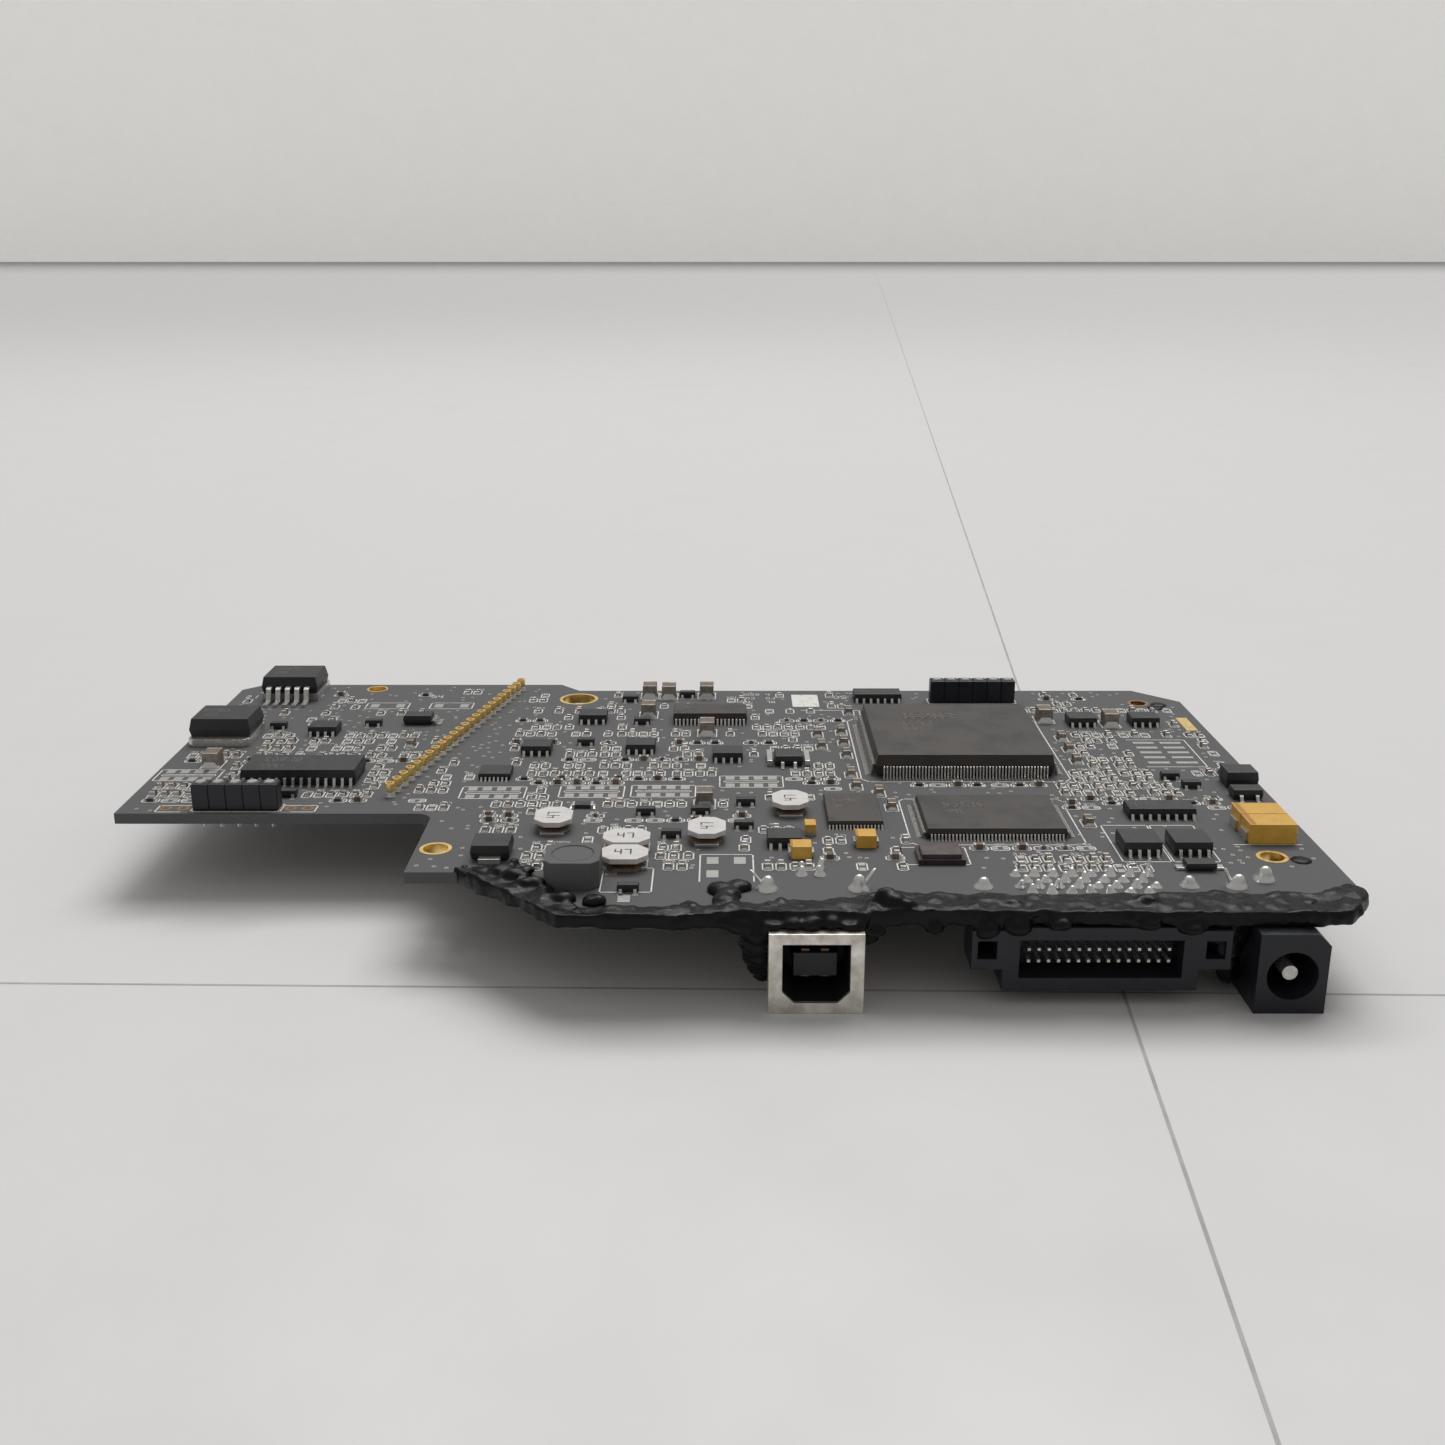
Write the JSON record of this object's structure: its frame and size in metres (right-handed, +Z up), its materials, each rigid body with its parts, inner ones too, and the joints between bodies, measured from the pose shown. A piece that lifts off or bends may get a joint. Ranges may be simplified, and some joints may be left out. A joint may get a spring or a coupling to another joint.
{
  "type": "spectrometer control board",
  "caption": "Populated circuit board with edge-mounted USB, accessory and power sockets below, a slanting detector socket row and torn sealant along the front edge.",
  "frame": {"origin": "on the floor under the middle of the whole outline, level with the underside of the USB shell", "axes": "+X along the long side towards the power jack, +Y from the connector edge to the back edge, +Z up from the populated top face"},
  "size_m": [0.1722, 0.1062, 0.0169],
  "materials": {
    "solder_mask": "satin dark solder mask, worn",
    "black_moulding": "matt moulded epoxy",
    "tinned_leads": "dull tin plating",
    "gold_plating": "thin gold plating",
    "steel_shell": "worn nickel plating",
    "dark_insulator": "matt",
    "black_connector": "matt",
    "solder": "bright, uneven",
    "white_plate": "matt white ceramic",
    "pale_ferrite": "matt",
    "copper_winding": "enamelled copper",
    "grey_ferrite": "matt",
    "oscillator_ceramic": "matt",
    "oscillator_metal": "satin",
    "tantalum_yellow": "satin moulded epoxy",
    "ceramic_brown": "fired ceramic",
    "resistor_black": "matt",
    "sealant_black": "torn, part gloss"
  },
  "bodies": {
    "root": {"accessory_housing": "black_connector", "accessory_pins": "gold_plating", "amplifier_body": "black_moulding", "amplifier_leads": "tinned_leads", "buffer_body": "black_moulding", "buffer_leads": "tinned_leads", "ceramic_capacitors": "ceramic_brown", "chip_resistor": "resistor_black", "circuit_board": "solder_mask", "converter_body": "black_moulding", "converter_leads": "tinned_leads", "detector_sockets": "gold_plating", "diode_bodies": "black_moulding", "diode_tabs": "tinned_leads", "driver_body": "black_moulding", "driver_leads": "tinned_leads", "drum_bases": "pale_ferrite", "drum_plates": "white_plate", "drum_windings": "copper_winding", "gate_body": "black_moulding", "gate_leads": "tinned_leads", "jack_housing": "black_connector", "jack_pin": "steel_shell", "logic_body": "black_moulding", "logic_leads": "tinned_leads", "memory_body": "black_moulding", "memory_leads": "tinned_leads", "mux_body": "black_moulding", "mux_leads": "tinned_leads", "oscillator_base": "oscillator_ceramic", "oscillator_lid": "oscillator_metal", "processor_body": "black_moulding", "processor_leads": "tinned_leads", "regulator_bodies": "black_moulding", "regulator_leads": "tinned_leads", "regulator_tabs": "tinned_leads", "sealant": "sealant_black", "shielded_inductor": "grey_ferrite", "solder_joints": "solder", "store_body": "black_moulding", "store_leads": "tinned_leads", "strip_bodies": "black_connector", "strip_contacts": "gold_plating", "tantalum_bodies": "tantalum_yellow", "tantalum_terminals": "tinned_leads", "transistor_bodies": "black_moulding", "transistor_leads": "tinned_leads", "usb_contacts": "gold_plating", "usb_insulator": "dark_insulator", "usb_shell": "steel_shell"}
  },
  "joints": []
}
